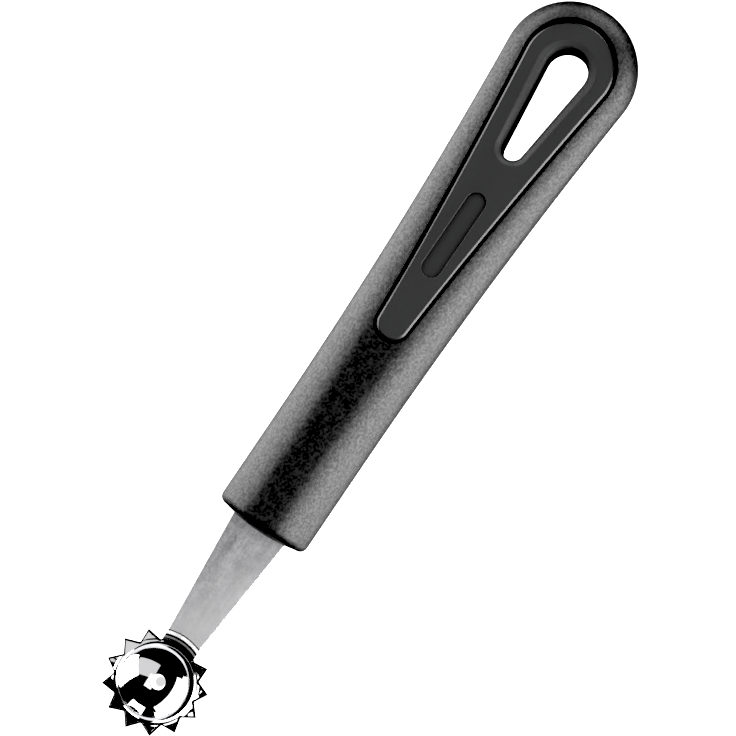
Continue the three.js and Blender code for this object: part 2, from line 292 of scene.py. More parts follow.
def plugMaterial():
    # one fine noise sets tone, roughness and bump
    finish = plugFinish
    material, wire, place = newMaterial("plugMatte")
    grain = noise(wire, place, finish["grain"], detail=2.0)
    colour = tone(wire, grain, finish["dark"], finish["light"])
    rough = finish["roughness"] + (grain - 0.5) * finish["roughSpread"]
    bump = bumped(wire, grain, finish["bump"], finish["bumpDepth"])
    return finished(material, wire, principled(wire, colour, rough, bump))


# Steel: the formed bowl is polished, the flat shank keeps its rolled and brushed skin, and on the neck
# between them painted shade draws dark arcs round the bowl's centre, beside a band of painted highlight;
# radii and runs are in millimetres
steelFinish = {
    "light": (0.72, 0.72, 0.73), "rolled": (0.88, 0.88, 0.89), "dark": (0.30, 0.30, 0.31),
    # the near-black tones are painted shade on the crease, the neck and the cut edges; the near-white one is
    # a painted highlight
    "paintedShade": (0.05, 0.05, 0.05), "paintedHighlight": (0.97, 0.97, 0.97), "cut": (0.03, 0.03, 0.03),
    "polished": 0.05, "polishedSpread": 0.03, "brushed": 0.36, "brushedSpread": 0.25,
    "paintedHighlightRough": 0.30, "cutRough": 0.25,
    "streak": 900.0, "streakStretch": (0.06, 1, 1), "mottle": 420.0, "fine": 2600.0, "ripple": 480.0,
    "neckX": (7.0, 7.6), "neckSide": (4.2, 3.9), "neckRadius": (8.7, 9.2), "shankRadius": (12.0, 12.6),
    "wearMix": (0.3, 0.35, 0.35), "wearFade": (0.72, 0.30), "leastWear": 0.35,
    # painted shade: the dull wear grows towards the handle and its left side
    "handleShadeRun": (10.0, 44.0), "handleShadeSkew": -1.6, "leastHandleShade": 0.25,
    # radii of painted shade rings at the crease and on the neck, then of the painted highlight band
    "crease": 10.95, "creaseHalf": (0.16, 0.04), "marks": (9.1, 9.9), "paintedShadeHalf": (0.28, 0.10),
    "paintedShadeSpread": (0.6, 1.4), "paintedHighlightAt": 10.46, "paintedHighlightHalf": (0.42, 0.25), "paintedHighlightSpread": (0.5, 1.3),
    "rippleRadius": (8.5, 8.9), "rippleDepth": 1.1, "streakDepth": 0.042, "mottleDepth": 0.018,
    "bumpDepth": 0.0001}


def steelMaterial():
    # shank is 1 on neck, shank and tang and 0 on bowl and teeth; the painted shade at the crease and on the
    # neck and the painted highlight band are rings, each by how far the distance from the bowl's centre is
    # from its own radius
    finish = steelFinish
    material, wire, place = newMaterial("steelPolished")
    x = coordinate(wire, place, 0) * 1000 + middleX     # millimetres from the bowl's centre
    y = coordinate(wire, place, 1) * 1000
    fromBowl = wire.math("SQRT", x ** 2 + y ** 2)

    def ring(radius, half):
        return fade(wire, wire.math("ABSOLUTE", fromBowl - radius), *half)

    inNeck = fade(wire, x, *finish["neckX"]) * fade(wire, wire.math("ABSOLUTE", y), *finish["neckSide"])
    beyond = fade(wire, fromBowl, *finish["shankRadius"])
    shank = fade(wire, fromBowl, *finish["neckRadius"]) * wire.math("MAXIMUM", inNeck, beyond)
    streak = noise(wire, place, finish["streak"], detail=3.0, stretch=finish["streakStretch"])
    mottle = noise(wire, place, finish["mottle"], detail=3.0)
    fine = noise(wire, place, finish["fine"], detail=2.0)
    streakShare, mottleShare, fineShare = finish["wearMix"]
    wear = streak * streakShare + mottle * mottleShare + fine * fineShare
    # colour: clean steel, then wear that painted shade deepens towards the handle, a painted highlight band,
    # painted shade rings, and the cut edges painted near black as shade
    # painted shade: the shank darkens towards the handle and more on its left, over its random wear
    skewed = fromBowl - y * finish["handleShadeSkew"]
    handleShadeRamp = blend(finish["leastHandleShade"], 1.0, fade(wire, skewed, *finish["handleShadeRun"]))
    wearAndShade = shank * blend(finish["leastWear"], 1.0, fade(wire, wear, *finish["wearFade"])) * handleShadeRamp
    # a painted highlight: a near-white band round the neck
    paintedHighlight = ring(finish["paintedHighlightAt"], finish["paintedHighlightHalf"]) * shank * blend(*finish["paintedHighlightSpread"], mottle)
    # painted shade: dark rings at the crease and across the neck
    marks = ring(finish["crease"], finish["creaseHalf"])
    for radius in finish["marks"]:
        marks = wire.math("MAXIMUM", marks, ring(radius, finish["paintedShadeHalf"]))
    marks = marks * shank * blend(*finish["paintedShadeSpread"], mottle)
    # painted shade: the cut edges are near black
    cut = edgeMark(wire)
    colour = tone(wire, shank, finish["light"], finish["rolled"])
    for mask, shade in ((wearAndShade, "dark"), (paintedHighlight, "paintedHighlight"), (marks, "paintedShade"), (cut, "cut")):
        colour = tone(wire, mask, colour, finish[shade])
    # roughness and bump
    brushed = finish["brushed"] - finish["polished"] + (wear - 0.5) * finish["brushedSpread"]
    polished = (1 - shank) * (mottle - 0.5) * finish["polishedSpread"]
    rough = finish["polished"] + shank * brushed + polished
    rough = rough + cut * finish["cutRough"] + paintedHighlight * finish["paintedHighlightRough"]
    onTeeth = (1 - shank) * fade(wire, fromBowl, *finish["rippleRadius"])
    ripple = noise(wire, place, finish["ripple"], detail=1.0) * onTeeth
    skin = shank * (streak * finish["streakDepth"] + mottle * finish["mottleDepth"])
    bump = bumped(wire, skin + ripple * finish["rippleDepth"], 1.0, finish["bumpDepth"])
    return finished(material, wire, principled(wire, colour, rough, bump, {"Metallic": 1.0}))


shellGrained = shellMaterial()
inlaySatin = inlayMaterial()
plugMatte = plugMaterial()
steelPolished = steelMaterial()
print("materials made")

# Teardrop outlines, half of one from the narrow tip to the wide butt
tipEnd, sideEnd = 0.2, 0.7     # shares of the outline at which the tip's arc and the side end


def teardrop(share, tipX, tipRadius, buttX, buttRadius, sag=0.0):
    # up to tipEnd the share turns round the tip's circle, up to sideEnd it runs along the side, and then it
    # turns round the butt's circle; the side is a quadratic curve whose middle draws in by sag
    turn = np.pi / 2 + np.arcsin((buttRadius - tipRadius) / (buttX - tipX))
    tipTurn = blend(np.pi, turn, np.clip(share / tipEnd, 0, 1))
    buttTurn = blend(turn, 0.0, np.clip((share - sideEnd) / (1 - sideEnd), 0, 1))
    along = np.clip((share - tipEnd) / (sideEnd - tipEnd), 0, 1)
    firstX, firstY = tipX + tipRadius * np.cos(turn), tipRadius * np.sin(turn)
    lastX, lastY = buttX + buttRadius * np.cos(turn), buttRadius * np.sin(turn)
    sideX = blend(firstX, lastX, along)
    sideY = blend(firstY, lastY, along) - 4 * sag * along * (1 - along)
    x = np.where(share < tipEnd, tipX + tipRadius * np.cos(tipTurn), sideX)
    y = np.where(share < tipEnd, tipRadius * np.sin(tipTurn), sideY)
    x = np.where(share > sideEnd, buttX + buttRadius * np.cos(buttTurn), x)
    y = np.where(share > sideEnd, buttRadius * np.sin(buttTurn), y)
    return x, np.maximum(y, 0.0)


def teardropShares(tipSteps, sideSteps, buttSteps):
    # evenly spaced shares on the tip, on the side and on the butt
    tip = np.linspace(0, tipEnd, tipSteps + 1)
    side = np.linspace(tipEnd, sideEnd, sideSteps + 1)
    butt = np.linspace(sideEnd, 1.0, buttSteps + 1)
    return np.concatenate([tip[:-1], side[:-1], butt])


# Handle: an oval bar with nearly flat crests, its sides flaring to a round butt
grip = {
    "noseX": 36.7, "dome": 1.0, "fillet": 1.6, "straight": 22.5, "halfWidth": 10.15, "halfHeight": 9.3,
    "crest": 2.35, "soft": 0.50, "taperX": 94.1, "taperSoft": 6.0,
    "buttX": 148.0, "buttRadius": 13.8, "buttHeight": 7.6, "buttPower": 3.0,
    "boreWidth": 8.0, "boreHeight": 6.7, "boreEnd": 80.1, "boreLip": 0.15, "boreLipRun": 0.3,
    "columns": 44, "domeRows": 9, "filletRows": 9, "noseRows": 34, "buttRows": 13, "edgeRows": 6,
    "outlineSteps": (26, 70, 44), "sharp": 45}
# Inlay: a teardrop plate with a bevelled edge in a groove, and a flange below
inlay = {
    "length": 61.9, "tipRadius": 3.38, "buttRadius": 9.25, "sag": 0.42, "rise": 6.55, "sink": 2.45,
    "bevelRun": 0.5, "bevelDrop": 0.34, "soft": 0.08, "softRows": 5, "bevelFoot": [-0.1, -0.04, 0.0],
    "footDrop": 0.03, "thickness": 2.4, "flange": 1.1, "groove": 0.62, "clear": 0.3, "grooveEdge": 0.12,
    "outlineSteps": (16, 40, 26), "across": [0, 0.02, 0.08, 0.25, 0.5, 0.75, 0.92, 0.98, 1.0], "sharp": 40}
# Slot through it, with a steep lip and a chamfer round its mouth, and a collar that lines it
slot = {
    "length": 18.8, "setback": 0.9, "tipRadius": 2.3, "buttRadius": 4.4, "tipDish": 2.0, "buttDish": 2.6,
    "depth": 0.35, "chamfer": 0.44, "lip": 0.24, "lipDepth": 1.0, "soft": 0.12, "collar": 1.3,
    "outlineSteps": (14, 22, 22),
    "dishes": [0, 0.08, 0.16, 0.24, 0.3, 0.45, 0.58, 0.62, 0.66, 0.7, 0.74, 0.78, 0.88, 1.0]}
# Sunk panel in its face
panel = {"length": 19.7, "width": 4.2, "depth": 0.35, "setback": 40.6, "edge": 0.10, "edgeTurns": (60, 0, 3),
         "endSteps": 13, "floorShares": (1.0, 0.95, 0.5, 0.0)}
rowGap, rowReach = 0.004, 0.003     # stations nearer than rowGap are one; rowReach takes in those at the ends
searchRounds, fineSteps = 8, 40001
frontX = grip["noseX"] + grip["dome"]
flareX = frontX + grip["straight"]
endX = grip["buttX"] + grip["buttRadius"]
inlaySlope = np.arctan(inlay["sink"] / inlay["length"])
crestShare = grip["crest"] / grip["halfWidth"]
lean = np.arctan(2 * (grip["buttRadius"] - grip["halfWidth"]) / (grip["buttX"] - flareX))
meetX = grip["buttX"] - grip["buttRadius"] * np.sin(lean)
domeWidth, domeHeight = grip["halfWidth"] - grip["fillet"], grip["halfHeight"] - grip["fillet"]


def flareShare(x):
    # 0 where the sides start to flare, 1 where they meet the circle of the butt
    return np.clip((x - flareX) / (meetX - flareX), 0, 1)


def halfWidth(x):
    # level, then a parabola, then the circle of the butt
    meetWidth = grip["buttRadius"] * np.cos(lean)
    flare = blend(grip["halfWidth"], meetWidth, flareShare(x) ** 2)
    circle = np.sqrt(np.maximum(grip["buttRadius"] ** 2 - (x - grip["buttX"]) ** 2, 0))
    return np.where(x > meetX, circle, flare)


def sectionPower(x):
    # 2 is an ellipse; the oval grows squarer towards the butt
    return blend(2.0, grip["buttPower"], flareShare(x))


def halfHeight(x):
    # level, then straight down to the butt, whose end is a quarter of a squarish oval
    past = np.clip((x - grip["buttX"]) / grip["buttRadius"], 0, 1)
    end = np.maximum(1 - past ** grip["buttPower"], 0) ** (1 / grip["buttPower"])
    drop = np.clip(smoothMax(x - grip["taperX"], grip["taperSoft"]) / (meetX - grip["taperX"]), 0, 1)
    return blend(grip["halfHeight"], grip["buttHeight"], drop) * end


def fullHeight(height, power):
    # height of the whole oval, before its crest is cut level
    return height / (1 - crestShare ** power) ** (1 / power)


def sectionHeight(turn, height, power=2.0):
    # an oval |y| ** power + |z| ** power = 1 cut off softly at the crest, measured up from the handle's axis
    oval = fullHeight(height, power) * np.maximum(1 - np.cos(turn) ** power, 0) ** (1 / power)
    soft = np.maximum(grip["soft"] * height / grip["halfHeight"], almostNone)
    return height - smoothMax(height - oval, soft)


def skinHeight(x, y):
    # the section's height at the turn whose cosine is y as a share of the half width
    width = np.maximum(halfWidth(x), almostNone)
    return sectionHeight(np.arccos(np.clip(y / width, 0, 1)), halfHeight(x), sectionPower(x))


def noseX(y, z):
    # a shallow dome that falls back with the square of the distance from the handle's axis
    bulge = (y / domeWidth) ** 2 + (z / fullHeight(domeHeight, 2.0)) ** 2
    return frontX - grip["dome"] * (1 - np.minimum(bulge, 1))


def facePlace(x, y, z):
    # from an inlay's own place to the tool: tilt about y, then up to the face
    farX = grip["buttX"] + x * np.cos(inlaySlope) + z * np.sin(inlaySlope)
    farZ = axisZ + inlay["rise"] - x * np.sin(inlaySlope) + z * np.cos(inlaySlope)
    return points(farX, y, farZ)


def middleDepth(x, above=0.0):
    # depth on an inlay at which a line square to it comes to a height above the handle's axis
    return (x * np.sin(inlaySlope) + above - inlay["rise"]) / np.cos(inlaySlope)


def inlayOutline(share, grow):
    # the inlay's teardrop, larger all round by grow
    tip, butt = inlay["tipRadius"] + grow, inlay["buttRadius"] + grow
    return teardrop(share, -inlay["length"], tip, 0.0, butt, inlay["sag"])


def slotOutline(share, dish, wall=0.0):
    # the slot's teardrop, at dish 0 its passage and at dish 1 the rim of its mouth, larger by wall
    tip = slot["tipRadius"] + slot["tipDish"] * dish + wall
    butt = slot["buttRadius"] + slot["buttDish"] * dish + wall
    return teardrop(share, -slot["setback"] - slot["length"], tip, -slot["setback"], butt)


def onSkin(x, y, depth):
    # where a line square to the inlay's face through (x, y) meets the skin, then depth below it; each round
    # of the search takes the skin's height at the x that the last round found
    z = np.zeros_like(x)
    for step in range(searchRounds):
        farX = grip["buttX"] + x * np.cos(inlaySlope) + z * np.sin(inlaySlope)
        z = middleDepth(x, skinHeight(farX, y))
    place = facePlace(x, y, z)
    place[..., 2] -= depth
    return place


def shellNose(around):
    # the blind bore, the dome from the bore's edge out to the fillet, and the fillet, a quarter circle
    ringY, ringZ = domeWidth * np.cos(around), sectionHeight(around, domeHeight)
    boreY, boreZ = grip["boreWidth"] * np.cos(around), grip["boreHeight"] * np.sin(around)
    share = np.linspace(0, 1, grip["domeRows"])[:, None]
    domeY, domeZ = blend(boreY, ringY, share), blend(boreZ, ringZ, share)
    fromBore = np.hypot(domeY - boreY, domeZ - boreZ) / grip["boreLipRun"]
    lip = grip["boreLip"] * (1 - np.clip(fromBore, 0, 1)) ** 2
    dome = points(noseX(domeY, domeZ) + lip, domeY, domeZ + axisZ)
    deep = np.full(len(around), grip["boreEnd"])
    shrink = np.array([1, 1, 0])[:, None]
    bore = points(np.stack([dome[0, :, 0], deep, deep]), boreY * shrink, boreZ * shrink + axisZ)
    turn = degrees(90, 0, grip["filletRows"])[:, None]
    inset = grip["fillet"] * (1 - np.cos(turn))
    filletY = (grip["halfWidth"] - inset) * np.cos(around)
    filletZ = sectionHeight(around, grip["halfHeight"] - inset)
    fillet = points(frontX + grip["fillet"] * (1 - np.sin(turn)), filletY, filletZ + axisZ)
    fillet[0] = dome[-1]
    return [bore, dome, fillet]


def shellSkin(rim, spread):
    # each row runs at one x from the groove's rim, or the middle, down to the widest line
    noseRows = np.linspace(frontX + grip["fillet"], rim[0, 0], grip["noseRows"])[:-1]
    buttTurn = np.arcsin((rim[-1, 0] - grip["buttX"]) / grip["buttRadius"])
    buttTurns = np.linspace(buttTurn, np.pi / 2, grip["buttRows"])[1:]
    buttRows = grip["buttX"] + grip["buttRadius"] * np.sin(buttTurns)
    rowX = np.concatenate([noseRows, rim[:, 0], buttRows])
    innerY = np.concatenate([0 * noseRows, rim[:, 1], 0 * buttRows])
    rowX[-1] = endX
    width = np.maximum(halfWidth(rowX), almostNone)
    turn = np.arccos(np.clip(innerY / width, 0, 1))[:, None] * spread
    skinY = halfWidth(rowX)[:, None] * np.cos(turn)
    skinZ = sectionHeight(turn, halfHeight(rowX)[:, None], sectionPower(rowX)[:, None])
    skin = points(rowX[:, None], skinY, skinZ + axisZ)
    skin[len(noseRows):len(noseRows) + len(rim), 0] = rim
    return skin


def shellGroove(rim, shares):
    # from the rim round a small edge, down the groove's wall, along its floor to the slot's passage, and
    # down that to the middle of the handle
    loops = [rim]
    for angle in degrees(0, 90, grip["edgeRows"])[1:]:
        grow = inlay["groove"] + inlay["grooveEdge"] * (1 - np.sin(angle))
        loops.append(onSkin(*inlayOutline(shares, grow), inlay["grooveEdge"] * (1 - np.cos(angle))))
    floorZ = -inlay["thickness"] - inlay["clear"]
    holeX, holeY = slotOutline(shares, 0.0, slot["collar"] + inlay["clear"])
    loops.append(facePlace(*inlayOutline(shares, inlay["groove"]), floorZ))
    loops.append(facePlace(holeX, holeY, floorZ))
    loops.append(facePlace(holeX, holeY, middleDepth(holeX)))
    loops[-1][:, 2] = axisZ
    return np.stack(loops)


def handleShell():
    # a quarter of the shell, mirrored across and top to bottom
    spread = np.linspace(1, 0, grip["columns"])
    shares = teardropShares(*grip["outlineSteps"])
    rim = onSkin(*inlayOutline(shares, inlay["groove"] + inlay["grooveEdge"]), 0.0)
    nose = shellNose(spread * np.pi / 2)
    skin = shellSkin(rim, spread)
    skin[0] = nose[-1][-1]
    quarter = nose + [skin, shellGroove(rim, shares)]
    half = quarter + mirrored(quarter, 1)
    piece = meshPiece("handleShellVisual", half + mirrored(half, 2, axisZ), grip["sharp"])
    fit(piece, "handle_shell", shellGrained)


def pillOutline(x, grow):
    # half width of the sunk panel at x: straight, with round ends
    half = panel["width"] / 2 + grow
    reach = panel["length"] / 2 - panel["width"] / 2
    past = np.maximum(np.abs(x + panel["setback"]) - reach, 0)
    return np.sqrt(np.maximum(half ** 2 - past ** 2, 0))


def inlayRows(inset):
    # stations along the inlay at which every outline on it has points
    face, _ = inlayOutline(teardropShares(*inlay["outlineSteps"]), -inset)
    mouth, _ = slotOutline(teardropShares(*slot["outlineSteps"]), 1.0)
    half = panel["width"] / 2 + panel["edge"]
    reach = panel["length"] / 2 - panel["width"] / 2
    end = reach + half * np.cos(degrees(0, 90, panel["endSteps"]))
    rows = np.sort(np.concatenate([face, mouth, -panel["setback"] - end, -panel["setback"] + end]))
    keep = np.concatenate([[True], np.diff(rows) > rowGap])
    return rows[keep]


def shareAt(x, outline):
    # share of an outline's length at which it stands at x, read off a fine table
    fine = np.linspace(0, 1, fineSteps)
    fineX, _ = outline(fine)
    return np.interp(x, fineX, fine)


def inlayBevel(share, faceEdge, inset):
    # the face's edge, a slope whose upper corner is rounded by a parabola, and a small step at its foot
    slope = inlay["bevelDrop"] / inlay["bevelRun"]
    upper = np.linspace(-inset, inlay["soft"] - inlay["bevelRun"], inlay["softRows"])
    loops = []
    for grow in np.concatenate([upper, inlay["bevelFoot"]]):
        drop = slope * smoothMax(grow + inlay["bevelRun"], inlay["soft"])
        loops.append(facePlace(*inlayOutline(share, grow), -drop - inlay["footDrop"] * (grow == 0)))
    loops[0] = faceEdge
    return np.stack(loops)


def inlaySide(share, top, rows, innerY):
    # below the bevel: down the side, out along the flange, down its edge and in along the underside
    ledge = -inlay["thickness"] + inlay["flange"]
    flangeX, flangeY = inlayOutline(share, inlay["groove"] - inlay["clear"])
    return np.stack([
        top, facePlace(*inlayOutline(share, 0.0), ledge), facePlace(flangeX, flangeY, ledge),
        facePlace(flangeX, flangeY, -inlay["thickness"]), facePlace(rows, innerY, -inlay["thickness"])])


def slotWall(x, y, share):
    # from the underside down the collar's outside, across its end, up the passage, and out over a steep lip
    # and a chamfer, each a straight fall, to the rim of the mouth
    outer = slotOutline(share, 0.0, slot["collar"])
    loops = [facePlace(x, y, -inlay["thickness"]), facePlace(*outer, -inlay["thickness"])]
    for lowX, lowY in (outer, slotOutline(share, 0.0)):
        loops.append(facePlace(lowX, lowY, middleDepth(lowX, inlay["clear"] / 2)))
    for dish in slot["dishes"]:
        steep = slot["lipDepth"] * max(1 - dish / slot["lip"], 0)
        left = 1 - max(dish - slot["lip"], 0) / slot["chamfer"]
        gentle = slot["depth"] * smoothMax(left, slot["soft"])
        loops.append(facePlace(*slotOutline(share, dish), -steep - gentle))
    loops[-1] = facePlace(x, y, 0.0)
    return np.stack(loops)


def sunkPanel(x, y, halfLength):
    # from the face over a small rounded edge, down the wall and across the floor to the middle line
    loops = [facePlace(x, y, 0.0)]
    for angle in degrees(*panel["edgeTurns"]):
        small = panel["edge"] * (1 - np.cos(angle))
        shrink = (halfLength - panel["edge"] + small) / halfLength
        inX = -panel["setback"] + (x + panel["setback"]) * shrink
        loops.append(facePlace(inX, pillOutline(inX, small), -panel["edge"] * (1 - np.sin(angle))))
    for part in panel["floorShares"]:
        loops.append(facePlace(inX, part * pillOutline(inX, 0.0), -panel["depth"]))
    return np.stack(loops)


def inlayPiece(name, node, below):
    # half of the inlay on stations along it, mirrored across, and turned over for the one below
    inset = inlay["bevelRun"] + inlay["soft"]
    rows = inlayRows(inset)
    share = shareAt(rows, lambda s: inlayOutline(s, -inset))
    slotShare = shareAt(rows, lambda s: slotOutline(s, 1.0))
    mouthX, _ = slotOutline(np.array([0.0, 1.0]), 1.0)
    inSlot = (rows > mouthX[0] - rowReach) & (rows < mouthX[1] + rowReach)
    pillHalf = panel["length"] / 2 + panel["edge"]
    inPill = np.abs(rows + panel["setback"]) < pillHalf + rowReach
    outY = inlayOutline(share, -inset)[1]
    slotY = np.where(inSlot, slotOutline(slotShare, 1.0)[1], 0.0)
    pillY = pillOutline(rows, panel["edge"])
    inY = np.where(inPill & ~inSlot, pillY, slotY)
    faceY = blend(inY[:, None], outY[:, None], np.array(inlay["across"]))
    face = facePlace(rows[:, None], faceY, 0.0)
    bevel = inlayBevel(share, facePlace(rows, outY, 0.0), inset)
    side = inlaySide(share, bevel[-1], rows, slotY)
    wall = slotWall(rows[inSlot], slotY[inSlot], slotShare[inSlot])
    sunk = sunkPanel(rows[inPill], pillY[inPill], pillHalf)
    plain = [face, side, wall, sunk]
    half = plain + mirrored(plain, 1) + [bevel] + mirrored([bevel], 1)
    if below:
        half = mirrored(half, 2, axisZ)
    piece = meshPiece(name, half, inlay["sharp"], 2 * len(plain))
    flatNormals(piece)
    fit(piece, node, inlaySatin)


# Blade: bowl, turned-out rim cut into teeth, neck, shank and tang in one sheet
blade = {
    "bowlRadius": 7.7, "bowlDepth": 3.5, "sheet": 1.0, "drainRadius": 1.6, "lipRadius": 0.3, "flare": 20.0,
    "rootRadius": 8.75, "tipRadius": 10.85, "spaces": 13, "rootFlat": 0.25, "bevel": 8.0, "neckHalf": 3.75,
    "neckEnd": 13.2, "straighten": 8.0, "shankStart": 14.0, "shankHalf": 6.0, "shankEnd": 36.7,
    "tangStart": 37.5, "shoulder": 40.7, "shoulderStep": 0.4, "tangHalf": 4.0, "tangEnd": 76.8,
    "bend": 0.07, "edge": 0.05, "sharp": 28, "columns": 17, "bowlRows": 44, "rimRows": 15, "neckRows": 34,
    "shankRows": 24, "tangRows": 4, "toothSteps": 8, "cutSpread": 1e-4}
flare = np.radians(blade["flare"])
sphereR = (blade["bowlRadius"] ** 2 + blade["bowlDepth"] ** 2) / (2 * blade["bowlDepth"])
rimLean = np.arcsin(blade["bowlRadius"] / sphereR)
topLip = blade["lipRadius"] + blade["sheet"]
lipX = blade["bowlRadius"] + topLip * np.sin(rimLean)
coneR = lipX - topLip * np.sin(flare)
shankZ = axisZ + blade["sheet"] / 2
lipZ = shankZ - (blade["tipRadius"] - coneR) * np.tan(flare) - topLip * np.cos(flare)
sphereZ = lipZ + (topLip + sphereR) * np.cos(rimLean)


def rimHeight(radius, lip, flat):
    # lip arc bending over from the bowl, then the cone, levelling off softly at flat
    startR = lipX - lip * np.sin(flare)
    arc = lipZ + np.sqrt(np.maximum(lip ** 2 - (lipX - radius) ** 2, 0))
    cone = lipZ + lip * np.cos(flare) + (radius - startR) * np.tan(flare)
    height = np.where(radius < startR, arc, cone)
    return flat - smoothMax(flat - height, blade["bend"])


def rimPath(share, endRadius, lip):
    # radius at a share of the way out along the lip arc and the cone
    startR = lipX - lip * np.sin(flare)
    arcLength = lip * (rimLean - flare)
    length = arcLength + (endRadius - startR) / np.cos(flare)
    gone = share * length
    onArc = lipX - lip * np.sin(rimLean - np.minimum(gone, arcLength) / lip)
    return np.where(gone < arcLength, onArc, startR + (gone - arcLength) * np.cos(flare))


def toothEdges():
    # plan points of the toothed edge, underside and upper side, anticlockwise from one side of the neck
    # to the other; the cut between two teeth runs through the sheet on a slant, so the upper edge lies inside
    pitch = 2 * np.pi / blade["spaces"]
    slant = np.pi / 2 - flare - np.radians(blade["bevel"])
    shift = blade["sheet"] / np.sin(flare + slant) * np.cos(slant)
    root = np.array([blade["rootRadius"], blade["rootFlat"] / 2])
    way = np.array([np.cos(pitch / 2), np.sin(pitch / 2)])
    tip = blade["tipRadius"] * way
    run = tip - root
    inner = root - [shift, 0]
    apex = (inner[0] * run[1] - inner[1] * run[0]) / (way[0] * run[1] - way[1] * run[0])
    steps = np.linspace(0, 1, blade["toothSteps"])[:, None]
    turn = ((1.0 + np.arange(blade["spaces"] - 1)) * pitch)[:, None]
    edges = []
    for profile in (blend(root, tip, steps), blend(inner, apex * way, steps)):
        notch = np.concatenate([profile[::-1] * [1, -1], profile])
        x = notch[:, 0] * np.cos(turn) - notch[:, 1] * np.sin(turn)
        y = notch[:, 0] * np.sin(turn) + notch[:, 1] * np.cos(turn)
        edges.append(np.stack([x, y], axis=-1).reshape(-1, 2))
    return edges


def neckCut(edge):
    # the toothed edge between the two sides of the neck, each end brought onto the neck's side
    inside = (np.abs(edge[:, 1]) < blade["neckHalf"]) & (edge[:, 0] > 0)
    first = np.argmax(~inside)
    last = len(edge) - 1 - np.argmax(~inside[::-1])

    def crossing(before, after, side):
        return blend(before, after, (side - before[1]) / (after[1] - before[1]))

    cut = edge.copy()
    cut[:first] = crossing(edge[first - 1], edge[first], blade["neckHalf"])
    cut[last + 1:] = crossing(edge[last + 1], edge[last], -blade["neckHalf"])
    return cut


def polar(edge):
    # radius and running angle of plan points
    return np.hypot(*edge.T), np.unwrap(np.arctan2(edge[:, 1], edge[:, 0]))


def rimPatch(out, startTurn, endTurn, endRadius, lip, flat):
    # from the lip out to an edge, while the angle goes from its start to its end
    radius, turn = rimPath(out, endRadius, lip), blend(startTurn, endTurn, out)
    return points(radius * np.cos(turn), radius * np.sin(turn), rimHeight(radius, lip, flat))


def shankStrip(startRadius, spread, lip, flat):
    # neck and strip: arcs about the bowl that straighten into lines across the shank
    neckY = spread * blade["neckHalf"]
    arcR = np.linspace(startRadius, blade["neckEnd"], blade["neckRows"])[1:, None]
    lineX = np.concatenate([
        np.linspace(blade["shankStart"], blade["shankEnd"], blade["shankRows"]),
        np.linspace(blade["tangStart"], blade["shoulder"], blade["tangRows"]),
        [blade["shoulder"] + blade["shoulderStep"], blade["tangEnd"]]])[:, None]
    straight = np.clip((lineX - blade["neckEnd"]) / blade["straighten"], 0, 1)
    lines = blend(np.sqrt(lineX ** 2 - neckY ** 2), lineX + 0 * neckY, straight)
    rowX = np.concatenate([np.sqrt(arcR ** 2 - neckY ** 2), lines])
    taper = np.clip((rowX - blade["tipRadius"]) / (blade["shankEnd"] - blade["tipRadius"]), 0, 1)
    half = blend(blade["neckHalf"], blade["shankHalf"], taper)
    half = np.where(rowX > blade["shoulder"] + blade["shoulderStep"] / 2, blade["tangHalf"], half)
    rowY = spread * half
    return points(rowX, rowY, rimHeight(np.hypot(rowX, rowY), lip, flat))


def scoopBlade():
    # the sheet's two sides, each a bowl, a toothed rim and a strip, and then the cut edges between them;
    # columns are the neck from right to left, then the teeth round to the right again
    (lowR, lowTurn), (highR, highTurn) = (polar(neckCut(edge)) for edge in toothEdges())
    spread = np.linspace(-1, 1, blade["columns"])
    neckTop = np.arcsin(spread * blade["neckHalf"] / highR[0])
    neckLow = np.arcsin(spread * blade["neckHalf"] / lowR[0])
    teethTurn = highTurn + np.linspace(-blade["cutSpread"], blade["cutSpread"], len(highTurn))
    teethTurn[0], teethTurn[-1] = neckTop[-1], neckTop[0] + 2 * np.pi
    around = np.concatenate([neckTop, teethTurn[1:]])
    out = np.linspace(0, 1, blade["rimRows"])[:, None]
    top = (sphereR, topLip, shankZ, highR, highTurn, neckTop)
    low = (sphereR + blade["sheet"], blade["lipRadius"], shankZ - blade["sheet"], lowR, lowTurn, neckLow)
    grids = []
    for radius, lip, flat, edgeR, edgeTurn, neckTurn in (top, low):
        # bowl: a cap of a sphere from the drain hole up to the lip
        hole = np.arcsin(blade["drainRadius"] / radius)
        rise = np.linspace(hole, rimLean, blade["bowlRows"])[:, None]
        wide = radius * np.sin(rise)
        bowl = points(wide * np.cos(around), wide * np.sin(around), sphereZ - radius * np.cos(rise))
        teeth = rimPatch(out, teethTurn, edgeTurn, edgeR, lip, flat)
        near = rimPatch(out, neckTop, neckTurn, np.full(len(spread), edgeR[0]), lip, flat)
        strip = shankStrip(edgeR[0], spread, lip, flat)
        grids += [bowl, teeth, np.concatenate([near, strip])]
    topBowl, topTeeth, topStrip, lowBowl, lowTeeth, lowStrip = grids
    join = blade["rimRows"] - 1
    edges = [np.stack([topTeeth[-1], lowTeeth[-1]])]
    edges += [np.stack([topStrip[join:, side], lowStrip[join:, side]]) for side in (0, -1)]
    edges += [np.stack([topStrip[-1], lowStrip[-1]]), np.stack([topBowl[0], lowBowl[0]])]
    piece = meshPiece("scoopBladeVisual", grids + edges, blade["sharp"], len(grids))
    roundEdges(piece, blade["edge"], blade["sharp"])
    fit(piece, "scoop_blade", steelPolished)


# Plug: two halves that fill the nose round the blade, their ends domed like the shell's
plug = {"halfWidth": 7.7, "halfHeight": 6.4, "end": 79.8, "split": 10.1, "seat": 9.8, "floor": 8.5,
        "channel": 6.3, "edge": 0.12, "rows": 7, "upperColumns": 41, "wallColumns": 9, "floorColumns": 45,
        "sharp": 30, "roundFrom": 40}


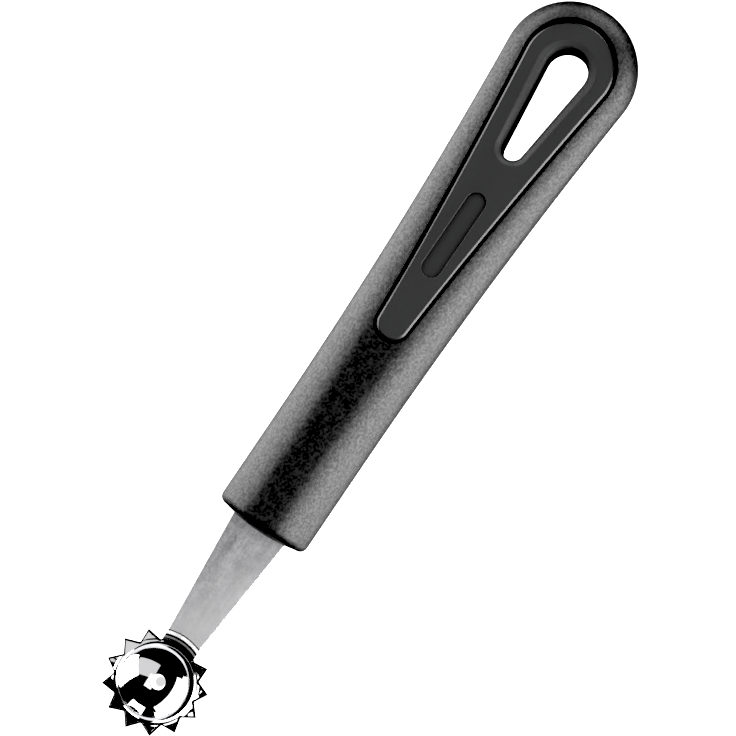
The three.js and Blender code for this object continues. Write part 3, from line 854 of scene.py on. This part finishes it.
def plugHalf(name, node, inner, turns):
    # a section between an inner path and the oval, carried from the domed nose to the plug's end
    outer = np.stack([plug["halfWidth"] * np.cos(turns), axisZ + plug["halfHeight"] * np.sin(turns)], axis=-1)
    section = blend(inner, outer, np.linspace(0, 1, plug["rows"])[:, None, None])
    y, z = section[..., 0], section[..., 1]
    nose = points(noseX(y, z - axisZ), y, z)
    tail = points(plug["end"], y, z)
    walls = [np.stack([nose[k], tail[k]]) for k in (0, -1)]
    ends = [np.stack([nose[:, k], tail[:, k]]) for k in (0, -1)]
    piece = meshPiece(name, [nose, tail] + walls + ends, plug["sharp"])
    roundEdges(piece, plug["edge"], plug["roundFrom"])
    fit(piece, node, plugMatte)


def plugPieces():
    # the upper half's inner path is a straight line, the lower half's runs down, across and up a channel
    lift = np.arcsin((plug["split"] - axisZ) / plug["halfHeight"])
    turns = np.linspace(lift, np.pi - lift, plug["upperColumns"])
    flat = np.stack([plug["halfWidth"] * np.cos(turns), np.full(len(turns), plug["split"])], axis=-1)
    plugHalf("plugFrontVisual", "plug_front", flat, turns)
    side, seat, floor = plug["channel"], plug["seat"], plug["floor"]
    corners = np.array([[side, seat], [side, floor], [-side, floor], [-side, seat]])
    gone = np.concatenate([[0], np.cumsum(np.hypot(*np.diff(corners, axis=0).T))])
    spots = np.concatenate([
        np.linspace(0, gone[1], plug["wallColumns"])[:-1],
        np.linspace(gone[1], gone[2], plug["floorColumns"])[:-1],
        np.linspace(gone[2], gone[3], plug["wallColumns"])])
    path = np.stack([np.interp(spots, gone, corners[:, k]) for k in (0, 1)], axis=-1)
    drop = np.arcsin((seat - axisZ) / plug["halfHeight"])
    plugHalf("plugBackVisual", "plug_back", path, np.linspace(drop, -np.pi - drop, len(spots)))


handleShell()
inlayPiece("frontInlayVisual", "front_inlay", False)
inlayPiece("backInlayVisual", "back_inlay", True)
scoopBlade()
plugPieces()
print("pieces made")

# Stage: the camera sees a plain white floor with a small shade under the drain hole, while the tool's
# reflections see it lit only beside the handle; sizes are in metres
stage = {
    "size": 3.0, "lines": 3, "drop": 0.00002, "white": 1.3, "glow": 2.9, "besideRun": (0.020, 0.027),
    "flare": 0.035, "buttRun": (0.095, 0.060), "noseRun": (-0.055, -0.040), "holeRun": (0.0013, 0.0009),
    "holeShade": 0.72, "dim": 0.015, "blackLevel": 0.0245, "whiteLevel": 0.5}


def makeFloor():
    # a flat square just under the tool, its light worked out from the distance to the tool's axis
    half = stage["size"] / 2
    line = np.linspace(-half, half, stage["lines"])
    x, y = np.meshgrid(line, line, indexing="ij")
    corners = points(x, y, -stage["drop"]).reshape(-1, 3)
    mesh = bpy.data.meshes.new("floor")
    faces = gridFaces(stage["lines"], stage["lines"], 0)[:, ::-1]     # facing up
    mesh.from_pydata(corners.tolist(), [], faces.tolist())
    floor = bpy.data.objects.new("floor", mesh)
    bpy.context.scene.collection.objects.link(floor)
    material, wire, place = newMaterial("floorPale")
    x = coordinate(wire, place, 0)
    off = wire.math("ABSOLUTE", coordinate(wire, place, 1))
    beside = fade(wire, off - x * stage["flare"], *stage["besideRun"])
    along = fade(wire, x, *stage["buttRun"]) * fade(wire, x, *stage["noseRun"])
    fromHole = wire.math("SQRT", (x + middleX * millimetre) ** 2 + off ** 2)
    plain = 1 - fade(wire, fromHole, *stage["holeRun"]) * stage["holeShade"]
    white = wire.node("ShaderNodeEmission", {}, {"Color": plain, "Strength": stage["white"]})
    strips = wire.node("ShaderNodeEmission", {}, {"Color": beside * along, "Strength": stage["glow"]})
    seen = wire.node("ShaderNodeLightPath")     # 1 for the camera, 0 in reflections
    surface = wire.node("ShaderNodeMixShader", {}, {0: seen, 1: strips, 2: white})
    mesh.materials.append(finished(material, wire, surface))


def makeSky():
    # the same faint grey from every side
    world = bpy.data.worlds.new("studio")
    bpy.context.scene.world = world
    world.use_nodes = True
    world.node_tree.nodes.clear()
    wire = Wire(world.node_tree)
    back = wire.node("ShaderNodeBackground", {}, {"Color": (1, 1, 1, 1), "Strength": stage["dim"]})
    wire.node("ShaderNodeOutputWorld", {}, {"Surface": back})


# Each light by its way from the tool in degrees, round from +x and down from overhead, and its distance in
# metres; it faces the tool, rolled about that line
lights = {
    "rightBox": {"way": (-86, 76), "distance": 1.1, "size": (1.15, 1.05), "roll": -47, "power": 24.0},
    "leftBox": {"way": (88, 76), "distance": 1.15, "size": (2.4, 0.55), "roll": 0, "power": 20.0},
    "leftHaze": {"way": (88, 54), "distance": 1.15, "size": (2.0, 0.46), "roll": 0, "power": 3.6},
    "greyCard": {"way": (-125, 40), "distance": 1.1, "size": (0.95, 0.75), "roll": -47, "power": 1.0},
    "endCard": {"way": (0, 74), "distance": 1.1, "size": (0.6, 0.55), "roll": 0, "power": 5.2},
    "topCard": {"way": (-90, 8), "distance": 1.25, "size": (0.70, 0.42), "roll": 0, "power": 0.80}}


def areaLight(name, way, distance, size, roll, power):
    # a rectangle that the camera doesn't see, on a sphere round the tool
    about, down = np.radians(way)
    place = distance * Vector((np.sin(down) * np.cos(about), np.sin(down) * np.sin(about), np.cos(down)))
    data = bpy.data.lights.new(name, "AREA")
    data.shape = "RECTANGLE"
    data.size, data.size_y = size
    data.energy = power
    light = bpy.data.objects.new(name, data)
    light.location = place
    light.rotation_mode = "QUATERNION"
    turned = Quaternion((0, 0, 1), np.radians(roll))
    light.rotation_quaternion = (-place).to_track_quat("-Z", "Y") @ turned
    light.visible_camera = False
    bpy.context.scene.collection.objects.link(light)


# Camera: nearly overhead, tilted about the tool's length and turned so that the tool lies aslant
photoCamera = {"distance": 0.95, "tilt": 5.0, "turn": 55.9, "lens": 232.0, "sensor": 36.0,
               "clip": (0.01, 20.0), "target": (0.000565, 0.0, 0.0093)}


def makeCamera():
    # back points from the target to the camera; right and up are the tool's length and side, turned about it
    tilt, turn = np.radians(photoCamera["tilt"]), np.radians(photoCamera["turn"])
    back = Vector((0, -np.sin(tilt), np.cos(tilt)))
    side = Vector((0, np.cos(tilt), np.sin(tilt)))
    length = Vector((1, 0, 0))
    right = length * np.cos(turn) - side * np.sin(turn)
    up = length * np.sin(turn) + side * np.cos(turn)
    data = bpy.data.cameras.new("camera")
    data.sensor_width = photoCamera["sensor"]
    data.lens = photoCamera["lens"]
    data.clip_start, data.clip_end = photoCamera["clip"]
    camera = bpy.data.objects.new("camera", data)
    turned = Matrix((right, up, back)).transposed().to_4x4()
    place = Vector(photoCamera["target"]) + back * photoCamera["distance"]
    camera.matrix_world = Matrix.Translation(place) @ turned
    bpy.context.scene.collection.objects.link(camera)
    bpy.context.scene.camera = camera


makeCamera()
makeFloor()
makeSky()
for name, light in lights.items():
    areaLight(name, **light)
grade = bpy.context.scene.view_settings     # a stop brighter, with the deepest tones pulled to black
grade.view_transform = "Standard"
grade.use_curve_mapping = True
grade.curve_mapping.black_level = [stage["blackLevel"]] * 3
grade.curve_mapping.white_level = [stage["whiteLevel"]] * 3
grade.curve_mapping.update()
print("stage made")
